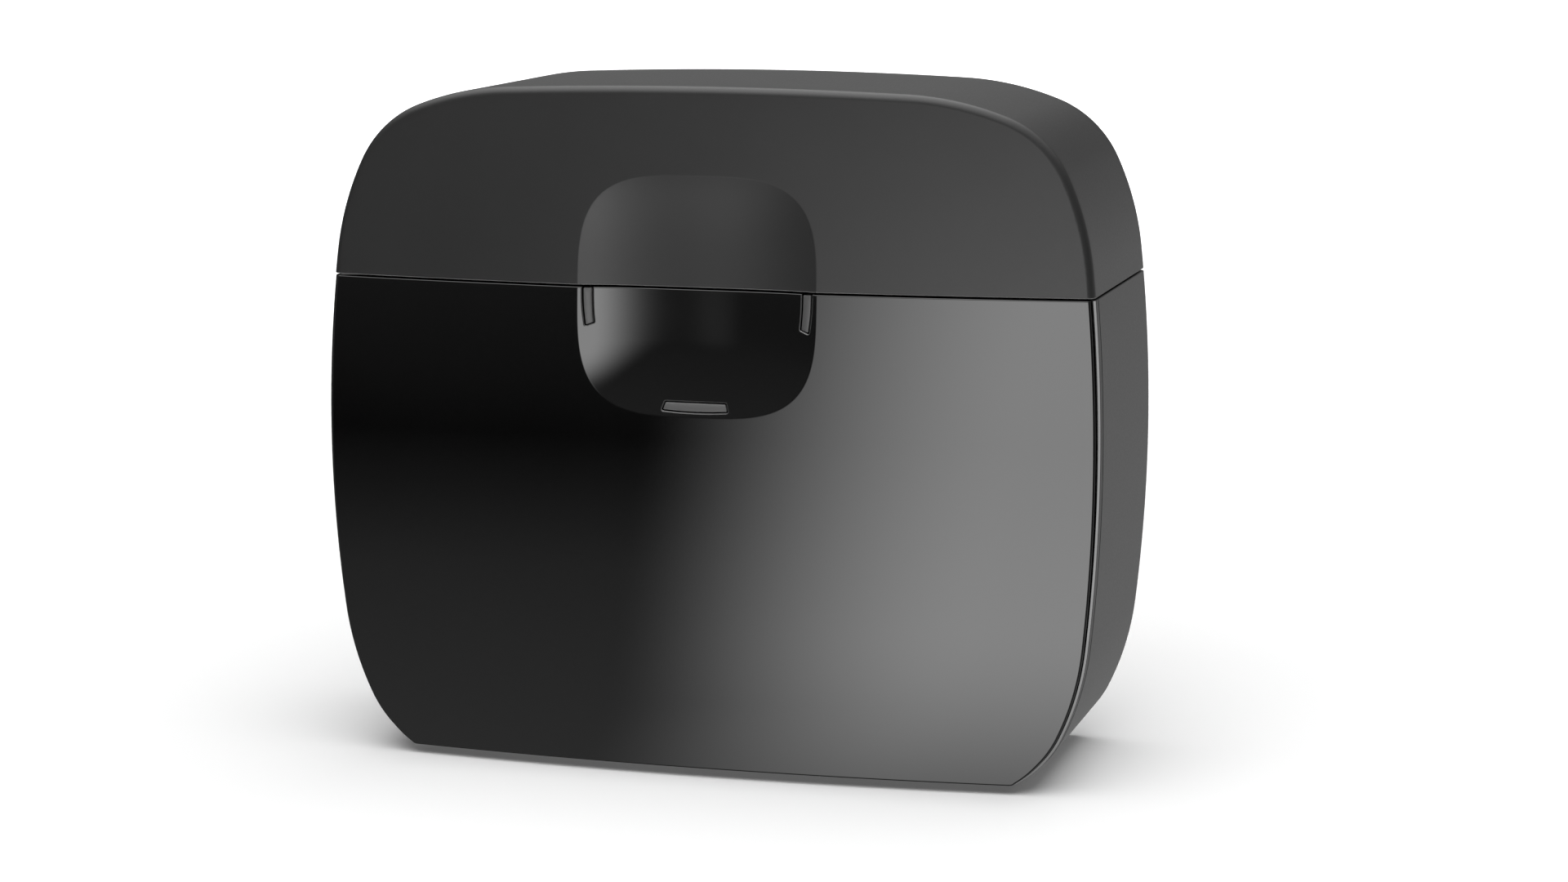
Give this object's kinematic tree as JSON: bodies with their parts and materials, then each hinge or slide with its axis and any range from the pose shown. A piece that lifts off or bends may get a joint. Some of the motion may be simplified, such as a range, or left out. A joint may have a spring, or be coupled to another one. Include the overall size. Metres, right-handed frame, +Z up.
{
  "type": "hearing aid case",
  "caption": "Pocket hard case for a pair of hearing aids: satin shell, glossy black domed front, thumb dish across the parting line, rear-hinged lid, felt-lined wells.",
  "frame": {"origin": "centre of the overall box at the floor under the feet", "axes": "+X along the width, +Y towards the hinged back (the glossy front faces -Y), +Z up"},
  "size_m": [0.0762, 0.0304, 0.0661],
  "materials": {
    "satin_shell": "fine satin texture",
    "gloss_front": "high gloss",
    "satin_bracket": "satin",
    "nickel": "bright nickel plate",
    "inner_plastic": "fine matt texture",
    "seal_rubber": "soft matt",
    "tray_plastic": "fine matt texture",
    "felt": "short soft pile",
    "screw_steel": "zinc plated",
    "foot_rubber": "matt",
    "hinge_metal": "dark brushed",
    "pin_steel": "ground"
  },
  "bodies": {
    "case": {"body_shell": "satin_shell", "front_panel": "gloss_front", "catch_bracket": "satin_bracket", "catch_magnets": "nickel", "mouth_collar": "inner_plastic", "rim_seal": "seal_rubber", "inner_tray": "tray_plastic", "aid_liner_left": "felt", "aid_liner_right": "felt", "tray_screws": "screw_steel", "rubber_feet": "foot_rubber", "body_hinge_leaf": "hinge_metal", "body_hinge_screws": "screw_steel", "hinge_pin": "pin_steel"},
    "lid": {"lid_shell": "satin_shell", "lid_liner": "inner_plastic", "lid_pad": "felt", "lid_keepers": "screw_steel", "lid_hinge_leaf": "hinge_metal", "lid_hinge_screws": "screw_steel"}
  },
  "joints": [
    {"name": "lid_swing", "type": "hinge", "parent": "case", "child": "lid", "pos_m": [0, 0.01355, 0.0473], "axis": [-1, 0, 0], "range_deg": [0, 110]}
  ]
}
